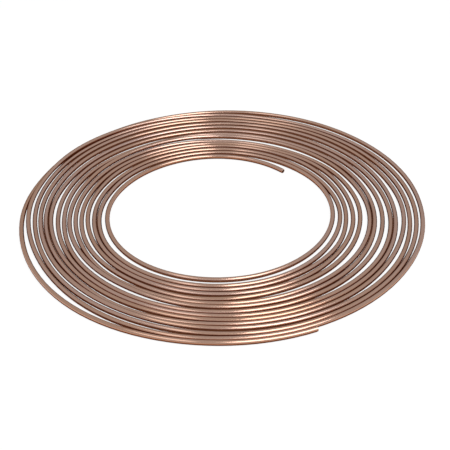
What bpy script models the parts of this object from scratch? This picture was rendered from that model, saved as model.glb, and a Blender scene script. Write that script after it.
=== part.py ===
"""Loose flat coil of thin soft-drawn copper tube.

One length of round tube is wound in a single flat layer and lies on its side. Its turns have sprung apart
in places, so that some touch and others leave lens-shaped gaps, and a few stretches ride up on the turns
beside them. Both ends are free and cut square: one lies at the eye of the coil, the other on its rim. The
tube is hollow from end to end.

Metres, +Z up. The coil stands on z = 0 with its middle over the origin.
"""
import math

import bpy

# Tube: a standard 3/16 inch by 0.030 inch section
TUBE_DIAMETER = 0.0047625
WALL_THICKNESS = 0.00076
TUBE_SIDES = 8

# Winding: the middle line of the innermost turn, and the room between one turn and the next
INNER_TURN_RADIUS = 0.115
LEAST_GAP = 0.0003
LOOSE_GAP = 0.0047625

# Where the two free ends lie, and how finely the turns are bent
INNER_END_DEGREES = 46.5
OUTER_END_DEGREES = 293.2
WHOLE_TURNS_BETWEEN_ENDS = 14
POINTS_PER_TURN = 24

# Stations stand every 15 degrees round the coil, the first at FIRST_STATION_DEGREES.
# The innermost turn's distance from the middle at each station, in shares of INNER_TURN_RADIUS.
FIRST_STATION_DEGREES = 30.0
INNER_TURN_SHARES = (
    0.838, 0.852, 0.867, 0.883, 0.898, 0.914, 0.93, 0.952, 0.98, 1.014, 1.048, 1.075,
    1.098, 1.11, 1.112, 1.106, 1.095, 1.08, 1.06, 1.042, 1.027, 1.015, 1.004, 0.995,
)

# How far each further turn has sprung away from the turn inside it, in shares of LOOSE_GAP.
# One row is one turn, from the inside outwards. Its places are the same stations.
GAP_SHARES = (
    (2.5, 1.8, 1.3, 1.0, 0.8, 0.6, 0.6, 0.8, 0.8, 0.5, 0.6, 0.7,
     0.9, 1.0, 1.0, 1.0, 1.0, 1.0, 1.1, 0.9, 0.7, 0.6, 0.5, 0.0),
    (0.0, 0.0, 0.3, 0.3, 0.4, 0.5, 0.5, 0.4, 0.1, 0.3, 0.1, 0.0,
     0.0, 0.0, 0.0, 0.2, 0.2, 0.1, 0.1, 0.4, 0.7, 0.2, 0.2, 0.5),
    (0.6, 1.0, 0.7, 0.7, 0.7, 0.5, 0.5, 0.6, 0.8, 0.5, 0.5, 0.3,
     0.0, 0.0, 0.0, 0.1, 0.2, 0.4, 0.6, 0.2, 0.0, 0.6, 0.4, 0.4),
    (0.7, 0.4, 0.0, 0.0, 0.1, 0.2, 0.3, 0.2, 0.3, 0.2, 0.2, 0.3,
     0.5, 0.2, 0.3, 0.6, 0.5, 0.1, 0.0, 0.5, 0.5, 0.3, 0.7, 0.6),
    (0.4, 0.0, 0.0, 0.0, 0.0, 0.4, 0.6, 0.5, 0.3, 0.4, 0.3, 0.2,
     0.0, 0.7, 0.4, 0.0, 0.2, 0.7, 0.8, 0.8, 1.0, 1.1, 0.9, 0.8),
    (0.7, 1.2, 1.7, 1.6, 1.5, 1.0, 0.1, 0.1, 0.3, 0.3, 0.2, 0.3,
     0.1, 0.1, 0.1, 0.1, 0.0, 0.0, 0.2, 0.2, 0.1, 0.0, 0.0, 0.3),
    (0.4, 0.2, 0.0, 0.0, 0.0, 0.0, 0.1, 0.1, 0.4, 0.5, 0.2, 0.0,
     0.4, 0.3, 0.5, 0.3, 0.4, 0.4, 0.3, 0.2, 0.4, 0.6, 0.7, 0.7),
    (0.6, 0.8, 0.8, 0.8, 0.8, 0.7, 1.3, 1.1, 0.6, 0.3, 0.4, 0.2,
     0.0, 0.0, 0.0, 0.0, 0.1, 0.3, 0.4, 0.7, 0.8, 0.7, 0.6, 0.5),
    (0.6, 0.3, 0.9, 0.9, 0.9, 0.8, 0.6, 0.7, 0.3, 0.4, 0.6, 0.4,
     0.0, 0.0, 0.0, 0.0, 0.1, 0.1, 0.1, 0.0, 0.0, 0.0, 0.1, 0.4),
    (0.6, 1.0, 0.9, 0.7, 0.6, 0.7, 0.8, 0.7, 0.8, 0.3, 0.0, 0.0,
     0.1, 0.1, 0.7, 0.3, 0.1, 0.0, 0.1, 0.1, 0.0, 0.5, 1.0, 0.7),
    (0.6, 0.7, 0.7, 0.4, 0.7, 0.9, 0.9, 0.7, 0.5, 0.3, 0.2, 0.0,
     0.0, 0.3, 0.0, 0.0, 0.1, 0.2, 0.2, 0.5, 0.7, 0.3, 0.1, 0.5),
    (0.5, 0.5, 0.3, 0.4, 0.4, 0.3, 0.4, 0.4, 0.5, 0.4, 0.2, 0.1,
     0.2, 0.2, 0.0, 0.3, 0.5, 0.5, 0.2, 0.0, 0.0, 0.3, 0.4, 0.5),
    (0.6, 0.4, 0.2, 0.5, 0.5, 0.5, 0.0, 0.0, 0.1, 0.1, 0.4, 0.3,
     0.0, 0.1, 0.6, 0.6, 0.2, 0.0, 0.0, 0.0, 0.0, 0.3, 0.3, 0.7),
    (0.8, 1.1, 1.4, 1.3, 0.7, 0.1, 0.0, 0.0, 0.0, 0.0, 0.0, 0.6,
     1.2, 1.1, 0.6, 0.0, 0.0, 0.0, 0.0, 0.0, 0.0, 0.0, 0.0, 0.0),
)

# Stretches that ride up on their neighbours: the turn, counted from the eye, where it leaves the floor and
# where it lies down again in degrees, and how high it rises between them, in shares of TUBE_DIAMETER.
LIFT_SHARES = (
    (7, 90.0, 165.0, 0.55),
    (7, 195.0, 265.0, 0.70),
    (12, 205.0, 265.0, 0.65),
    (14, 95.0, 205.0, 0.85),
)


def clear_file():
    for item in list(bpy.data.objects):
        bpy.data.objects.remove(item, do_unlink=True)


def lift_at(degrees):
    """How far the tube is off the floor, following it by its whole angle from the first turn on."""
    rise = 0.0
    for turn, leaves, lands, share in LIFT_SHARES:
        along = (degrees - 360.0 * (turn - 1) - leaves) / (lands - leaves)
        if 0.0 < along < 1.0:
            rise += share * TUBE_DIAMETER * math.sin(math.pi * along) ** 2
    return rise


def stations():
    """Distance from the middle and lift at every station, from the inner end of the tube to its outer end.

    Two turns side by side are TUBE_DIAMETER and LEAST_GAP apart. Where one is lifted past the upright side
    of its neighbour's section, it lies on the slanting side, and is nearer by as much as it rises further.
    """
    count = len(INNER_TURN_SHARES)
    apart = TUBE_DIAMETER + LEAST_GAP
    upright_side = apart * math.tan(math.pi / TUBE_SIDES)
    distances = [share * INNER_TURN_RADIUS for share in INNER_TURN_SHARES]
    lifts = [lift_at(FIRST_STATION_DEGREES + 360.0 * number / count) for number in range(count)]
    for row in GAP_SHARES:
        for share in row:
            lift = lift_at(FIRST_STATION_DEGREES + 360.0 * len(lifts) / count)
            nearer = max(0.0, abs(lift - lifts[-count]) - upright_side)
            distances.append(distances[-count] + apart - nearer + share * LOOSE_GAP)
            lifts.append(lift)
    return distances, lifts


def blend(values, degrees):
    """Smooth value between the stations.

    Each of the four nearest stations counts with a weight that is never negative. All turns use the same
    weights, so neighbouring turns keep the room that the stations give them.
    """
    place = (degrees - FIRST_STATION_DEGREES) * len(INNER_TURN_SHARES) / 360.0
    before = math.floor(place)
    t = place - before
    weights = (
        (1 - t) ** 3 / 6,
        (3 * t ** 3 - 6 * t ** 2 + 4) / 6,
        (-3 * t ** 3 + 3 * t ** 2 + 3 * t + 1) / 6,
        t ** 3 / 6,
    )
    total = 0
    for step, weight in enumerate(weights):
        station = min(max(before - 1 + step, 0), len(values) - 1)
        total += weight * values[station]
    return total


def bend_directions():
    """Directions of the points along the tube. Between the ends they repeat on every turn, so that the
    sides of neighbouring turns stay parallel."""
    step = 360.0 / POINTS_PER_TURN
    last = OUTER_END_DEGREES + 360.0 * WHOLE_TURNS_BETWEEN_ENDS
    directions = [INNER_END_DEGREES]
    count = math.floor(INNER_END_DEGREES / step) + 1
    while count * step < last:
        directions.append(count * step)
        count += 1
    directions.append(last)
    return directions


def middle_line():
    """Points along the middle of the tube, moved so that the coil's outline is centred on the origin."""
    distances, lifts = stations()
    points = []
    for degrees in bend_directions():
        distance = blend(distances, degrees)
        height = TUBE_DIAMETER / 2 + blend(lifts, degrees)
        angle = math.radians(degrees)
        points.append((distance * math.cos(angle), distance * math.sin(angle), height))
    across = [point[0] for point in points]
    along = [point[1] for point in points]
    middle_x = (min(across) + max(across)) / 2
    middle_y = (min(along) + max(along)) / 2
    return [(x - middle_x, y - middle_y, z) for x, y, z in points]


def copper():
    material = bpy.data.materials.new("bright_copper")
    material.use_nodes = True
    shader = material.node_tree.nodes["Principled BSDF"]
    shader.inputs["Base Color"].default_value = (0.85, 0.53, 0.42, 1.0)
    shader.inputs["Metallic"].default_value = 1.0
    shader.inputs["Roughness"].default_value = 0.28
    return material


def tube_coil(collection):
    """The tube is a bevelled path with its wall thickened inwards. A flat side of the section lies on the
    floor."""
    half_side_angle = math.pi / TUBE_SIDES
    path = bpy.data.curves.new("copper_tube_path", "CURVE")
    path.dimensions = "3D"
    path.twist_mode = "Z_UP"
    path.fill_mode = "FULL"
    path.use_fill_caps = False
    path.bevel_depth = TUBE_DIAMETER / 2 / math.cos(half_side_angle)
    path.bevel_resolution = (TUBE_SIDES - 4) // 2
    points = middle_line()
    spline = path.splines.new("POLY")
    spline.use_smooth = True
    spline.points.add(len(points) - 1)
    for target, place in zip(spline.points, points):
        target.co = (*place, 1.0)
        target.tilt = half_side_angle
    tube = bpy.data.objects.new("copper_tube", path)
    collection.objects.link(tube)
    wall = tube.modifiers.new("tube_wall", "SOLIDIFY")
    wall.thickness = WALL_THICKNESS
    wall.offset = -1
    wall.use_even_offset = True
    path.materials.append(copper())
    return tube


def build():
    clear_file()
    collection = bpy.data.collections.new("copper_tube_coil")
    bpy.context.scene.collection.children.link(collection)
    tube_coil(collection)


build()
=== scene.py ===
import math

import bpy
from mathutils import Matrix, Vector


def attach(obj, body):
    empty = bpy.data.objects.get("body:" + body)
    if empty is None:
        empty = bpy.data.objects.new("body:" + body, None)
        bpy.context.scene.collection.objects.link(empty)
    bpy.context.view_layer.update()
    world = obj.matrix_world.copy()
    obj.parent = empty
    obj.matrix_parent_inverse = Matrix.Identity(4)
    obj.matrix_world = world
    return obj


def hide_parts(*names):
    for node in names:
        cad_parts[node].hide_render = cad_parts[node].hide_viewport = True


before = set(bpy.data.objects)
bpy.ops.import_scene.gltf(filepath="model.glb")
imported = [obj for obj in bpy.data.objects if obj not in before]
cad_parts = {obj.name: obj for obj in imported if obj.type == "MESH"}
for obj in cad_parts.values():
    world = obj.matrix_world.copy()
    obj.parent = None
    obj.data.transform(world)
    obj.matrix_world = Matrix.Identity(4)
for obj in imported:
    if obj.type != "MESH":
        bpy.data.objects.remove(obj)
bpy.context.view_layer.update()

scene = bpy.context.scene
scene.view_settings.view_transform = "Standard"


# The camera. The coil lies flat and is seen from the front, about 35 degrees above the floor.
# The lens and distance come from how much narrower the tube looks at the back than at the front.
aim = Vector((0.0020, -0.0310, 0.0))
camera_height_angle = math.radians(34.9)
camera_distance = 0.9318
towards_camera = Vector((0.0, -math.cos(camera_height_angle), math.sin(camera_height_angle)))
camera_data = bpy.data.cameras.new("camera")
camera_data.sensor_width = 36.0
camera_data.lens = 72.0
camera_data.clip_start = 0.01
camera = bpy.data.objects.new("camera", camera_data)
scene.collection.objects.link(camera)
camera.location = aim + camera_distance * towards_camera
camera.rotation_euler = (aim - camera.location).to_track_quat("-Z", "Y").to_euler()
scene.camera = camera


# The copper tube. One length of soft-drawn round tube, 3/16 inch outside with a 0.030 inch wall, coiled flat
# in one layer. It has sprung loose in places, a few turns ride up on their neighbours, and both its ends are
# free and cut square. The route follows the part's own stations, bent far more finely.
tube_diameter = 0.0047625
wall_thickness = 0.00076
broken_edge = 0.00012
tube_sides = 20

inner_turn_radius = 0.115
least_gap = 0.0003
loose_gap = 0.0047625
whole_turns_between_ends = 14
inner_end_degrees = 46.5
outer_end_degrees = 293.2 + 360.0 * whole_turns_between_ends
first_station_degrees = 30.0
station_degrees = 15.0
stations_per_turn = 24
route_step_degrees = 3.0

# The innermost turn's distance from the middle at each station, in shares of inner_turn_radius
inner_turn_shares = (
    0.838, 0.852, 0.867, 0.883, 0.898, 0.914, 0.93, 0.952, 0.98, 1.014, 1.048, 1.075,
    1.098, 1.11, 1.112, 1.106, 1.095, 1.08, 1.06, 1.042, 1.027, 1.015, 1.004, 0.995,
)

# How far each further turn has sprung away from the turn inside it, in shares of loose_gap.
# One row is one turn, from the inside outwards. Its places are the same stations.
gap_shares = (
    (2.5, 1.8, 1.3, 1.0, 0.8, 0.6, 0.6, 0.8, 0.8, 0.5, 0.6, 0.7,
     0.9, 1.0, 1.0, 1.0, 1.0, 1.0, 1.1, 0.9, 0.7, 0.6, 0.5, 0.0),
    (0.0, 0.0, 0.3, 0.3, 0.4, 0.5, 0.5, 0.4, 0.1, 0.3, 0.1, 0.0,
     0.0, 0.0, 0.0, 0.2, 0.2, 0.1, 0.1, 0.4, 0.7, 0.2, 0.2, 0.5),
    (0.6, 1.0, 0.7, 0.7, 0.7, 0.5, 0.5, 0.6, 0.8, 0.5, 0.5, 0.3,
     0.0, 0.0, 0.0, 0.1, 0.2, 0.4, 0.6, 0.2, 0.0, 0.6, 0.4, 0.4),
    (0.7, 0.4, 0.0, 0.0, 0.1, 0.2, 0.3, 0.2, 0.3, 0.2, 0.2, 0.3,
     0.5, 0.2, 0.3, 0.6, 0.5, 0.1, 0.0, 0.5, 0.5, 0.3, 0.7, 0.6),
    (0.4, 0.0, 0.0, 0.0, 0.0, 0.4, 0.6, 0.5, 0.3, 0.4, 0.3, 0.2,
     0.0, 0.7, 0.4, 0.0, 0.2, 0.7, 0.8, 0.8, 1.0, 1.1, 0.9, 0.8),
    (0.7, 1.2, 1.7, 1.6, 1.5, 1.0, 0.1, 0.1, 0.3, 0.3, 0.2, 0.3,
     0.1, 0.1, 0.1, 0.1, 0.0, 0.0, 0.2, 0.2, 0.1, 0.0, 0.0, 0.3),
    (0.4, 0.2, 0.0, 0.0, 0.0, 0.0, 0.1, 0.1, 0.4, 0.5, 0.2, 0.0,
     0.4, 0.3, 0.5, 0.3, 0.4, 0.4, 0.3, 0.2, 0.4, 0.6, 0.7, 0.7),
    (0.6, 0.8, 0.8, 0.8, 0.8, 0.7, 1.3, 1.1, 0.6, 0.3, 0.4, 0.2,
     0.0, 0.0, 0.0, 0.0, 0.1, 0.3, 0.4, 0.7, 0.8, 0.7, 0.6, 0.5),
    (0.6, 0.3, 0.9, 0.9, 0.9, 0.8, 0.6, 0.7, 0.3, 0.4, 0.6, 0.4,
     0.0, 0.0, 0.0, 0.0, 0.1, 0.1, 0.1, 0.0, 0.0, 0.0, 0.1, 0.4),
    (0.6, 1.0, 0.9, 0.7, 0.6, 0.7, 0.8, 0.7, 0.8, 0.3, 0.0, 0.0,
     0.1, 0.1, 0.7, 0.3, 0.1, 0.0, 0.1, 0.1, 0.0, 0.5, 1.0, 0.7),
    (0.6, 0.7, 0.7, 0.4, 0.7, 0.9, 0.9, 0.7, 0.5, 0.3, 0.2, 0.0,
     0.0, 0.3, 0.0, 0.0, 0.1, 0.2, 0.2, 0.5, 0.7, 0.3, 0.1, 0.5),
    (0.5, 0.5, 0.3, 0.4, 0.4, 0.3, 0.4, 0.4, 0.5, 0.4, 0.2, 0.1,
     0.2, 0.2, 0.0, 0.3, 0.5, 0.5, 0.2, 0.0, 0.0, 0.3, 0.4, 0.5),
    (0.6, 0.4, 0.2, 0.5, 0.5, 0.5, 0.0, 0.0, 0.1, 0.1, 0.4, 0.3,
     0.0, 0.1, 0.6, 0.6, 0.2, 0.0, 0.0, 0.0, 0.0, 0.3, 0.3, 0.7),
    (0.8, 1.1, 1.4, 1.3, 0.7, 0.1, 0.0, 0.0, 0.0, 0.0, 0.0, 0.6,
     1.2, 1.1, 0.6, 0.0, 0.0, 0.0, 0.0, 0.0, 0.0, 0.0, 0.0, 0.0),
)

# The stretches that ride up: the turn, counted from the eye, where it leaves the floor and where it lies down
# again in degrees, and how high it rises between them, in shares of tube_diameter
lift_shares = (
    (7, 90.0, 165.0, 0.55),
    (7, 195.0, 265.0, 0.70),
    (12, 205.0, 265.0, 0.65),
    (14, 95.0, 205.0, 0.85),
)


def lift_at(degrees):
    """How far the tube is off the floor, following it by its whole angle from the first turn on."""
    rise = 0.0
    for turn, leaves, lands, share in lift_shares:
        along = (degrees - 360.0 * (turn - 1) - leaves) / (lands - leaves)
        if 0.0 < along < 1.0:
            rise += share * tube_diameter * math.sin(math.pi * along) ** 2
    return rise


# Two turns side by side are at least this far apart, from middle to middle. Where one has risen past the
# upright side of the part's eight-sided section, it lies nearer by as much as it rises further.
closest = tube_diameter + least_gap
upright_side = (math.sqrt(2.0) - 1.0) * closest
station_distances = [share * inner_turn_radius for share in inner_turn_shares]
for row in gap_shares:
    for share in row:
        degrees = first_station_degrees + station_degrees * len(station_distances)
        step_up = abs(lift_at(degrees) - lift_at(degrees - 360.0))
        nearer = max(0.0, step_up - upright_side)
        turn_inside = station_distances[-stations_per_turn]
        station_distances.append(turn_inside + closest - nearer + share * loose_gap)
station_lifts = [
    lift_at(first_station_degrees + station_degrees * number) for number in range(len(station_distances))
]


def blend(values, degrees):
    """Smooth value between the stations: the four nearest count, each with a weight that isn't negative."""
    place = (degrees - first_station_degrees) / station_degrees
    before = math.floor(place)
    t = place - before
    weights = (
        (1 - t) ** 3 / 6,
        (3 * t ** 3 - 6 * t ** 2 + 4) / 6,
        (-3 * t ** 3 + 3 * t ** 2 + 3 * t + 1) / 6,
        t ** 3 / 6,
    )
    total = 0
    for step, weight in enumerate(weights):
        station = min(max(before - 1 + step, 0), len(values) - 1)
        total += weight * values[station]
    return total


def tube_middle(degrees):
    distance = blend(station_distances, degrees)
    height = tube_diameter / 2 + blend(station_lifts, degrees)
    angle = math.radians(degrees)
    return (distance * math.cos(angle), distance * math.sin(angle), height)


# The part is centred by its own coarser bends, which lie every 15 degrees and at both ends
first_bend = math.floor(inner_end_degrees / station_degrees) + 1
last_bend = math.floor(outer_end_degrees / station_degrees)
bend_degrees = [station_degrees * number for number in range(first_bend, last_bend + 1)]
bends = [tube_middle(degrees) for degrees in (inner_end_degrees, *bend_degrees, outer_end_degrees)]
middle_x = (min(x for x, y, z in bends) + max(x for x, y, z in bends)) / 2
middle_y = (min(y for x, y, z in bends) + max(y for x, y, z in bends)) / 2

route_steps = round((outer_end_degrees - inner_end_degrees) / route_step_degrees)
degrees_apart = (outer_end_degrees - inner_end_degrees) / route_steps
path = bpy.data.curves.new("copper_tube_path", "CURVE")
path.dimensions = "3D"
path.twist_mode = "Z_UP"
spline = path.splines.new("POLY")
spline.points.add(route_steps)
for number, point in enumerate(spline.points):
    x, y, z = tube_middle(inner_end_degrees + number * degrees_apart)
    point.co = (x - middle_x, y - middle_y, z, 1.0)
coil = bpy.data.objects.new("copper_coil_path", path)
scene.collection.objects.link(coil)


def feed(tree, value, socket):
    """Link another node's output to a socket, or set the socket to a plain value."""
    if isinstance(value, bpy.types.NodeSocket):
        tree.links.new(value, socket)
    else:
        socket.default_value = value


def calculated(tree, operation, a, b):
    node = tree.nodes.new("ShaderNodeMath")
    node.operation = operation
    feed(tree, a, node.inputs[0])
    feed(tree, b, node.inputs[1])
    return node.outputs[0]


def ranged(tree, value, low, high, to_low, to_high, smooth=False):
    """The value, brought from the range low to high into the range to_low to to_high."""
    node = tree.nodes.new("ShaderNodeMapRange")
    node.interpolation_type = "SMOOTHSTEP" if smooth else "LINEAR"
    for name, number in (("From Min", low), ("From Max", high), ("To Min", to_low), ("To Max", to_high)):
        node.inputs[name].default_value = number
    tree.links.new(value, node.inputs["Value"])
    return node.outputs["Result"]


def mixed(tree, factor, first, second):
    """The colour between two others. Inputs 6 and 7 and output 2 are the Mix node's sockets for colours."""
    node = tree.nodes.new("ShaderNodeMix")
    node.data_type = "RGBA"
    tree.links.new(factor, node.inputs["Factor"])
    feed(tree, first, node.inputs[6])
    feed(tree, second, node.inputs[7])
    return node.outputs[2]


def bright_drawn_copper():
    """Bare copper from the die: faint lines along the tube, slow changes of tone where fingers and air have
    been, and the slight waviness that soft tube has from being coiled. Towards the sides and the underside,
    where turn lies against turn, the colour is darkened to brown as painted shade. All of it follows the
    attribute tube_place, in metres: across the tube to the side, across it upwards, and along it."""
    redder_copper = (0.80, 0.475, 0.32, 1.0)
    paler_copper = (0.865, 0.605, 0.525, 1.0)
    # Painted shade: the brown that the sides and underside of the tube are darkened to
    painted_shade_brown = (0.42, 0.165, 0.085, 1.0)
    fully_shaded_below = 0.0003
    unshaded_above = 0.0013
    glossiest = 0.14
    dullest = 0.23
    tones_per_metre = (300.0, 300.0, 6.0)
    drawing_lines_per_metre = (2600.0, 2600.0, 14.0)
    waves_per_metre = (0.0, 0.0, 9.0)

    material = bpy.data.materials.new("bright_drawn_copper")
    material.use_nodes = True
    tree = material.node_tree
    nodes, links = tree.nodes, tree.links
    shader = nodes["Principled BSDF"]
    shader.inputs["Metallic"].default_value = 1.0
    shader.inputs["Specular Tint"].default_value = (0.06, 0.03, 0.02, 1.0)

    tube_place = nodes.new("ShaderNodeAttribute")
    tube_place.attribute_name = "tube_place"

    def noise(per_metre, detail):
        stretched = nodes.new("ShaderNodeMapping")
        stretched.inputs["Scale"].default_value = per_metre
        links.new(tube_place.outputs["Vector"], stretched.inputs["Vector"])
        texture = nodes.new("ShaderNodeTexNoise")
        texture.inputs["Scale"].default_value = 1.0
        texture.inputs["Detail"].default_value = detail
        links.new(stretched.outputs["Vector"], texture.inputs["Vector"])
        return texture.outputs["Fac"]

    tone = noise(tones_per_metre, detail=4.0)
    paleness = ranged(tree, tone, low=0.25, high=0.75, to_low=0.0, to_high=1.0)
    bright = mixed(tree, paleness, redder_copper, paler_copper)
    across = nodes.new("ShaderNodeSeparateXYZ")
    links.new(tube_place.outputs["Vector"], across.inputs["Vector"])
    # Painted shade: the base colour turns brown from a little above the tube's middle downwards, over its
    # sides and underside
    painted_shade_share = ranged(tree, across.outputs["Y"], low=fully_shaded_below, high=unshaded_above,
                     to_low=1.0, to_high=0.0, smooth=True)
    links.new(mixed(tree, painted_shade_share, bright, painted_shade_brown), shader.inputs["Base Color"])
    roughness = ranged(tree, tone, low=0.3, high=0.7, to_low=glossiest, to_high=dullest)
    links.new(roughness, shader.inputs["Roughness"])

    drawing_lines = nodes.new("ShaderNodeBump")
    drawing_lines.inputs["Strength"].default_value = 0.012
    drawing_lines.inputs["Distance"].default_value = 0.0001
    links.new(noise(drawing_lines_per_metre, detail=3.0), drawing_lines.inputs["Height"])
    links.new(drawing_lines.outputs["Normal"], shader.inputs["Normal"])
    waviness = nodes.new("ShaderNodeBump")
    waviness.inputs["Distance"].default_value = 0.006
    links.new(noise(waves_per_metre, detail=1.0), waviness.inputs["Height"])
    links.new(waviness.outputs["Normal"], drawing_lines.inputs["Normal"])
    return material


def tube_tree():
    """A hollow tube along a path: the outer skin, the bore, and two square-cut ends with their edges just
    broken."""
    weld_distance = 0.00002
    crease_angle = math.radians(35.0)

    tree = bpy.data.node_groups.new("tube_along_path", "GeometryNodeTree")
    face = tree.interface
    face.new_socket("Geometry", in_out="INPUT", socket_type="NodeSocketGeometry")
    for name in ("Outer Diameter", "Wall", "Broken Edge"):
        face.new_socket(name, in_out="INPUT", socket_type="NodeSocketFloat")
    face.new_socket("Sides", in_out="INPUT", socket_type="NodeSocketInt")
    face.new_socket("Copper", in_out="INPUT", socket_type="NodeSocketMaterial")
    face.new_socket("Geometry", in_out="OUTPUT", socket_type="NodeSocketGeometry")
    nodes, links = tree.nodes, tree.links
    given = nodes.new("NodeGroupInput").outputs
    result = nodes.new("NodeGroupOutput").inputs

    def vector(operation, a, b=None, scale=None):
        node = nodes.new("ShaderNodeVectorMath")
        node.operation = operation
        links.new(a, node.inputs[0])
        if b is not None:
            links.new(b, node.inputs[1])
        if scale is not None:
            feed(tree, scale, node.inputs["Scale"])
        return node.outputs["Value"] if operation == "DOT_PRODUCT" else node.outputs["Vector"]

    def stored(geometry, name, kind, value):
        node = nodes.new("GeometryNodeStoreNamedAttribute")
        node.data_type = kind
        node.domain = "POINT"
        node.inputs["Name"].default_value = name
        links.new(geometry, node.inputs["Geometry"])
        links.new(value, node.inputs["Value"])
        return node.outputs["Geometry"]

    def named(name, kind):
        node = nodes.new("GeometryNodeInputNamedAttribute")
        node.data_type = kind
        node.inputs["Name"].default_value = name
        return node.outputs["Attribute"]

    position = nodes.new("GeometryNodeInputPosition").outputs["Position"]
    tangent = nodes.new("GeometryNodeInputTangent").outputs["Tangent"]
    spline_place = nodes.new("GeometryNodeSplineParameter")
    line = stored(given["Geometry"], "tube_middle", "FLOAT_VECTOR", position)
    line = stored(line, "tube_heading", "FLOAT_VECTOR", tangent)
    line = stored(line, "tube_length", "FLOAT", spline_place.outputs["Length"])
    line = stored(line, "tube_share", "FLOAT", spline_place.outputs["Factor"])

    outer_radius = calculated(tree, "MULTIPLY", given["Outer Diameter"], 0.5)
    bore_radius = calculated(tree, "SUBTRACT", outer_radius, given["Wall"])

    def sweep(radius):
        ring = nodes.new("GeometryNodeCurvePrimitiveCircle")
        links.new(given["Sides"], ring.inputs["Resolution"])
        links.new(radius, ring.inputs["Radius"])
        node = nodes.new("GeometryNodeCurveToMesh")
        links.new(line, node.inputs["Curve"])
        links.new(ring.outputs["Curve"], node.inputs["Profile Curve"])
        return node.outputs["Mesh"]

    # Out of the tube at each end, and away from its middle line
    at_outer_end = calculated(tree, "GREATER_THAN", named("tube_share", "FLOAT"), 0.5)
    end_sign = calculated(tree, "SUBTRACT", calculated(tree, "MULTIPLY", at_outer_end, 2.0), 1.0)
    outward = vector("SCALE", named("tube_heading", "FLOAT_VECTOR"), scale=end_sign)
    from_middle = vector("SUBTRACT", position, named("tube_middle", "FLOAT_VECTOR"))
    across = vector("DOT_PRODUCT", from_middle, outward)
    radial = vector("NORMALIZE", vector("SUBTRACT", from_middle, vector("SCALE", outward, scale=across)))

    # The open rims of the outer skin. Inputs 2 and 3 are the Compare node's sockets for whole numbers.
    open_rim = nodes.new("FunctionNodeCompare")
    open_rim.data_type = "INT"
    open_rim.operation = "EQUAL"
    open_rim.inputs[3].default_value = 1
    links.new(nodes.new("GeometryNodeInputMeshEdgeNeighbors").outputs["Face Count"], open_rim.inputs[2])

    # Each rim goes out and in over the broken outer edge, straight in across the wall, and back into the bore
    broken = given["Broken Edge"]
    flat_face = calculated(tree, "SUBTRACT", given["Wall"], calculated(tree, "MULTIPLY", broken, 2.0))
    mesh, rim = sweep(outer_radius), open_rim.outputs["Result"]
    for out, inwards in (
        (broken, broken),
        (0.0, flat_face),
        (calculated(tree, "MULTIPLY", broken, -1.0), broken),
    ):
        move = vector("SUBTRACT", vector("SCALE", outward, scale=out), vector("SCALE", radial, scale=inwards))
        extruded = nodes.new("GeometryNodeExtrudeMesh")
        extruded.mode = "EDGES"
        extruded.inputs["Offset Scale"].default_value = 1.0
        links.new(mesh, extruded.inputs["Mesh"])
        links.new(rim, extruded.inputs["Selection"])
        links.new(move, extruded.inputs["Offset"])
        mesh, rim = extruded.outputs["Mesh"], extruded.outputs["Top"]

    bore = nodes.new("GeometryNodeFlipFaces")
    links.new(sweep(bore_radius), bore.inputs["Mesh"])
    joined = nodes.new("GeometryNodeJoinGeometry")
    links.new(bore.outputs["Mesh"], joined.inputs["Geometry"])
    links.new(mesh, joined.inputs["Geometry"])
    welded = nodes.new("GeometryNodeMergeByDistance")
    welded.inputs["Distance"].default_value = weld_distance
    links.new(joined.outputs["Geometry"], welded.inputs["Geometry"])

    # Where a point of the surface is on the tube: across it to the side, across it upwards, and along it
    up = nodes.new("FunctionNodeInputVector")
    up.vector = (0.0, 0.0, 1.0)
    side = vector("CROSS_PRODUCT", named("tube_heading", "FLOAT_VECTOR"), up.outputs["Vector"])
    place = nodes.new("ShaderNodeCombineXYZ")
    links.new(vector("DOT_PRODUCT", from_middle, side), place.inputs["X"])
    links.new(vector("DOT_PRODUCT", from_middle, up.outputs["Vector"]), place.inputs["Y"])
    links.new(named("tube_length", "FLOAT"), place.inputs["Z"])
    tube = stored(welded.outputs["Geometry"], "tube_place", "FLOAT_VECTOR", place.outputs["Vector"])

    smooth = nodes.new("GeometryNodeSetShadeSmooth")
    smooth.domain = "FACE"
    links.new(tube, smooth.inputs["Geometry"])
    crease = nodes.new("GeometryNodeSetShadeSmooth")
    crease.domain = "EDGE"
    crease.inputs["Shade Smooth"].default_value = False
    bent = nodes.new("GeometryNodeInputMeshEdgeAngle").outputs["Unsigned Angle"]
    links.new(calculated(tree, "GREATER_THAN", bent, crease_angle), crease.inputs["Selection"])
    links.new(smooth.outputs["Geometry"], crease.inputs["Geometry"])
    real = nodes.new("GeometryNodeRealizeInstances")
    links.new(crease.outputs["Geometry"], real.inputs["Geometry"])
    coated = nodes.new("GeometryNodeSetMaterial")
    links.new(real.outputs["Geometry"], coated.inputs["Geometry"])
    links.new(given["Copper"], coated.inputs["Material"])
    links.new(coated.outputs["Geometry"], result["Geometry"])
    return tree


tube_nodes = coil.modifiers.new("tube", "NODES")
tube_nodes.node_group = tube_tree()
sockets = {item.name: item.identifier for item in tube_nodes.node_group.interface.items_tree
           if item.item_type == "SOCKET" and item.in_out == "INPUT"}
tube_nodes[sockets["Outer Diameter"]] = tube_diameter
tube_nodes[sockets["Wall"]] = wall_thickness
tube_nodes[sockets["Broken Edge"]] = broken_edge
tube_nodes[sockets["Sides"]] = tube_sides
tube_nodes[sockets["Copper"]] = bright_drawn_copper()
bpy.context.view_layer.update()
depsgraph = bpy.context.evaluated_depsgraph_get()
tube_mesh = bpy.data.meshes.new_from_object(coil.evaluated_get(depsgraph))
tube_mesh.name = "copper_tube_skin"
tube = bpy.data.objects.new("copper_tube_skin", tube_mesh)
scene.collection.objects.link(tube)
bpy.data.objects.remove(coil, do_unlink=True)
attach(tube, "root")
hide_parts("copper_tube")
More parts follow.
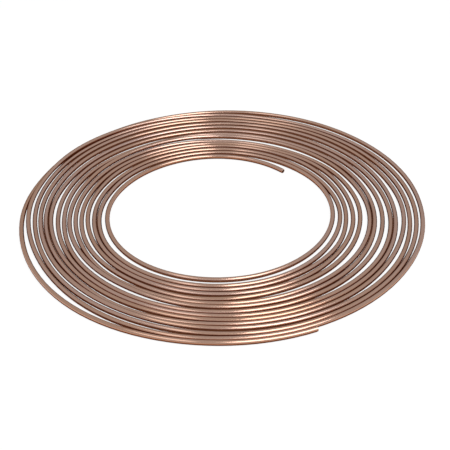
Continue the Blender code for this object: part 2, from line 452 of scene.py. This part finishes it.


# The floor. A plain white paper sweep that the coil lies on, which keeps the coil's soft shadow. The camera
# sees it lifted to white where it is open; down between two turns that lie close together it has a painted
# shade, dark in the copper's colour. The metal sees it lifted too, with a painted shade close to the coil.
corner_distance = 60.0
corner_directions = [math.radians(degrees) for degrees in (90.0, 210.0, 330.0)]
corners = [
    (corner_distance * math.cos(direction), corner_distance * math.sin(direction), 0.0)
    for direction in corner_directions
]
# One wide triangle, so that no edge of it runs beneath the coil
floor_mesh = bpy.data.meshes.new("floor")
floor_mesh.from_pydata(corners, [], [(0, 1, 2)])
floor = bpy.data.objects.new("floor", floor_mesh)
scene.collection.objects.link(floor)

white_sweep = bpy.data.materials.new("white_sweep")
white_sweep.use_nodes = True
sweep_tree = white_sweep.node_tree
sweep_nodes, sweep_links = sweep_tree.nodes, sweep_tree.links
paper = sweep_nodes["Principled BSDF"]
paper.inputs["Roughness"].default_value = 0.9
paper.inputs["Specular IOR Level"].default_value = 0.0
# Painted shade: the paper's colour and its glow go dark and copper-brown down between close turns
painted_shade_paper_between_turns = (0.20, 0.09, 0.05, 1.0)
paper_in_the_open = (0.21, 0.21, 0.21, 1.0)
painted_shade_glow_between_turns = (0.12, 0.045, 0.022, 1.0)
glow_in_the_open = (0.88, 0.88, 0.88, 1.0)


def openness(reach, samples, closed_below, open_above, least):
    """How clear a place on the floor is of the coil within reach, from least to 1."""
    around = sweep_nodes.new("ShaderNodeAmbientOcclusion")
    around.samples = samples
    around.inputs["Distance"].default_value = reach
    return ranged(sweep_tree, around.outputs["AO"], low=closed_below, high=open_above,
                  to_low=least, to_high=1.0, smooth=True)


clear_of_turns = openness(reach=0.0025, samples=48, closed_below=0.24, open_above=0.30, least=0.0)
clear_of_coil = openness(reach=0.050, samples=4, closed_below=0.65, open_above=0.99, least=0.25)
sweep_links.new(mixed(sweep_tree, clear_of_turns, painted_shade_paper_between_turns, paper_in_the_open),
                paper.inputs["Base Color"])
seen_by = sweep_nodes.new("ShaderNodeLightPath").outputs
seen_direct = calculated(sweep_tree, "MAXIMUM", seen_by["Is Camera Ray"], seen_by["Is Transmission Ray"])
# Painted shade: in the metal's reflections the floor's glow fades close to the coil
seen_in_metal = calculated(sweep_tree, "MULTIPLY", seen_by["Is Glossy Ray"], clear_of_coil)
glow = sweep_nodes.new("ShaderNodeEmission")
sweep_links.new(mixed(sweep_tree, clear_of_turns, painted_shade_glow_between_turns, glow_in_the_open),
                glow.inputs["Color"])
sweep_links.new(calculated(sweep_tree, "MAXIMUM", seen_direct, seen_in_metal), glow.inputs["Strength"])
both = sweep_nodes.new("ShaderNodeAddShader")
sweep_links.new(paper.outputs["BSDF"], both.inputs[0])
sweep_links.new(glow.outputs["Emission"], both.inputs[1])
sweep_links.new(both.outputs["Shader"], sweep_nodes["Material Output"].inputs["Surface"])
# The glow only whitens what is seen, so it is not sampled as a lamp
white_sweep.cycles.emission_sampling = "NONE"
floor.data.materials.append(white_sweep)


# The light. One large softbox high over the front right of the coil, and a narrow weak one over its front
# left, in a grey room. Between the two the copper stays dark.
def softbox(name, place, looks_at, width, height, radiance):
    lamp = bpy.data.lights.new(name, "AREA")
    lamp.shape = "RECTANGLE"
    lamp.size = width
    lamp.size_y = height
    lamp.energy = radiance * math.pi * width * height
    box = bpy.data.objects.new(name, lamp)
    box.location = place
    box.rotation_euler = (Vector(looks_at) - Vector(place)).to_track_quat("-Z", "Y").to_euler()
    scene.collection.objects.link(box)


softbox("softbox_front_right", place=(1.06, -1.12, 2.07), looks_at=(1.06, 0.0, 0.0),
        width=1.60, height=2.30, radiance=2.20)
softbox("softbox_front_left", place=(-0.85, -1.12, 2.07), looks_at=(-0.85, 0.0, 0.0),
        width=0.72, height=2.30, radiance=0.74)

world = bpy.data.worlds.new("grey_room")
world.use_nodes = True
scene.world = world
room = world.node_tree.nodes["Background"]
room.inputs["Color"].default_value = (1.0, 1.0, 1.0, 1.0)
room.inputs["Strength"].default_value = 0.42
